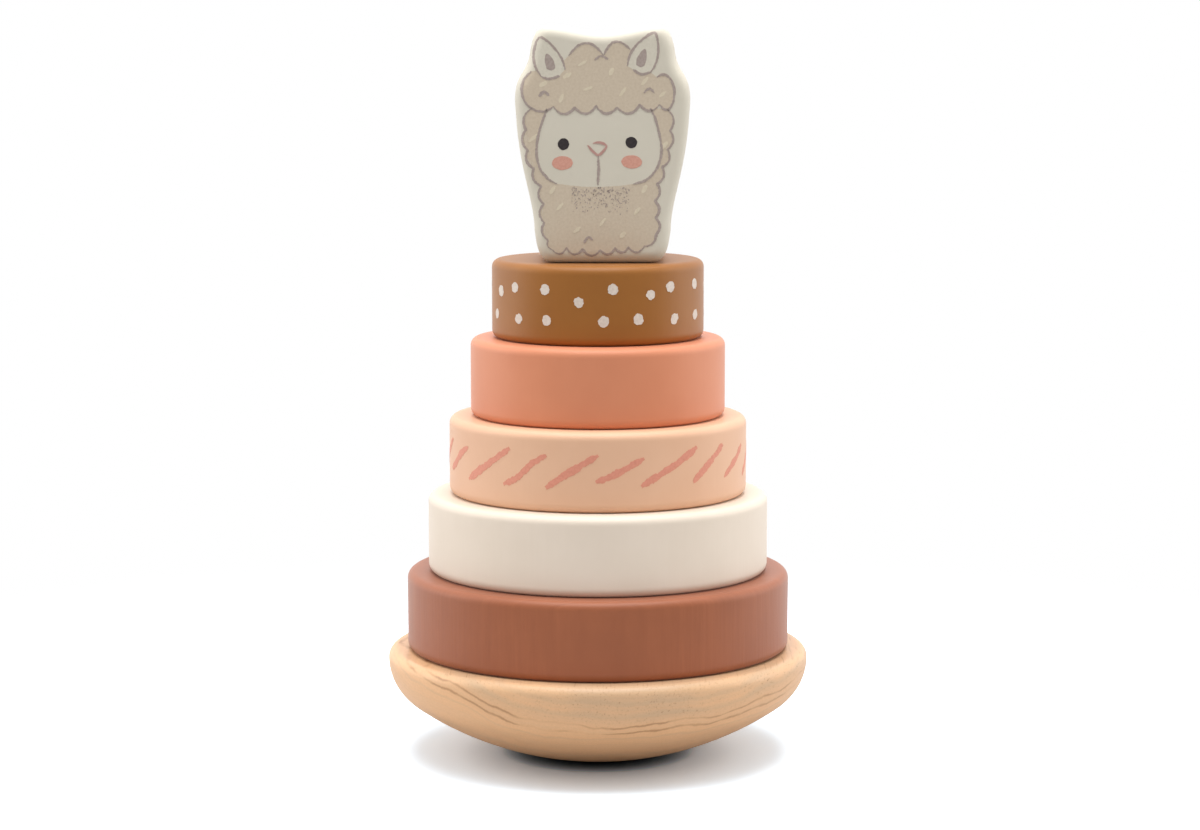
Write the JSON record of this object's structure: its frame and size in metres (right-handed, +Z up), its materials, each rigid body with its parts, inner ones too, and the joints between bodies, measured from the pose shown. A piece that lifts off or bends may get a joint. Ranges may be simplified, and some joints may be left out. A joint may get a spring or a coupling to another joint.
{
  "type": "stacking ring toy",
  "caption": "Wooden rocking base with a dowel, painted rings that grow towards the base, and an alpaca block that lifts off the top.",
  "frame": {"origin": "middle of the flat foot under the rocker base, on the surface it stands on", "axes": "+Z up along the dowel, -Y out of the alpaca's face, +X to the right when it is seen from the front"},
  "size_m": [0.108, 0.108, 0.1869],
  "materials": {
    "natural_wood": "pale hardwood turned and lacquered clear, satin",
    "dowel_wood": "bare sanded beech dowel",
    "terracotta_paint": "wood sprayed with water-based paint, satin, grain showing through",
    "cream_paint": "wood sprayed with water-based paint, satin",
    "peach_paint": "wood sprayed with water-based paint, satin",
    "coral_paint": "wood sprayed with water-based paint, satin",
    "mustard_paint": "wood sprayed with water-based paint, satin",
    "ivory_paint": "wood sprayed with water-based paint, satin",
    "white_ink": "printed ink, matt, on the mustard ring",
    "pink_ink": "printed ink, matt, on the peach ring",
    "wool_ink": "printed ink, matt, the wool on the topper",
    "line_ink": "printed ink, matt, the drawn lines on the topper",
    "eye_ink": "printed ink, matt, the eyes on the topper",
    "cheek_ink": "printed ink, matt, the cheeks and nose on the topper"
  },
  "bodies": {
    "base": {"rocker_base": "natural_wood", "dowel": "dowel_wood"},
    "terracotta": {"terracotta_ring": "terracotta_paint"},
    "cream": {"cream_ring": "cream_paint"},
    "peach": {"peach_ring": "peach_paint"},
    "coral": {"coral_ring": "coral_paint"},
    "mustard": {"mustard_ring": "mustard_paint"},
    "topper": {"alpaca_topper": "ivory_paint"}
  },
  "joints": [
    {"name": "terracotta_lift", "type": "slide", "parent": "base", "child": "terracotta", "axis": [0, 0, 1], "range_m": [0, 0.127]},
    {"name": "cream_lift", "type": "slide", "parent": "terracotta", "child": "cream", "axis": [0, 0, 1], "range_m": [0, 0.107]},
    {"name": "peach_lift", "type": "slide", "parent": "cream", "child": "peach", "axis": [0, 0, 1], "range_m": [0, 0.087]},
    {"name": "coral_lift", "type": "slide", "parent": "peach", "child": "coral", "axis": [0, 0, 1], "range_m": [0, 0.067]},
    {"name": "mustard_lift", "type": "slide", "parent": "coral", "child": "mustard", "axis": [0, 0, 1], "range_m": [0, 0.047]},
    {"name": "topper_lift", "type": "slide", "parent": "mustard", "child": "topper", "axis": [0, 0, 1], "range_m": [0, 0.027]}
  ]
}
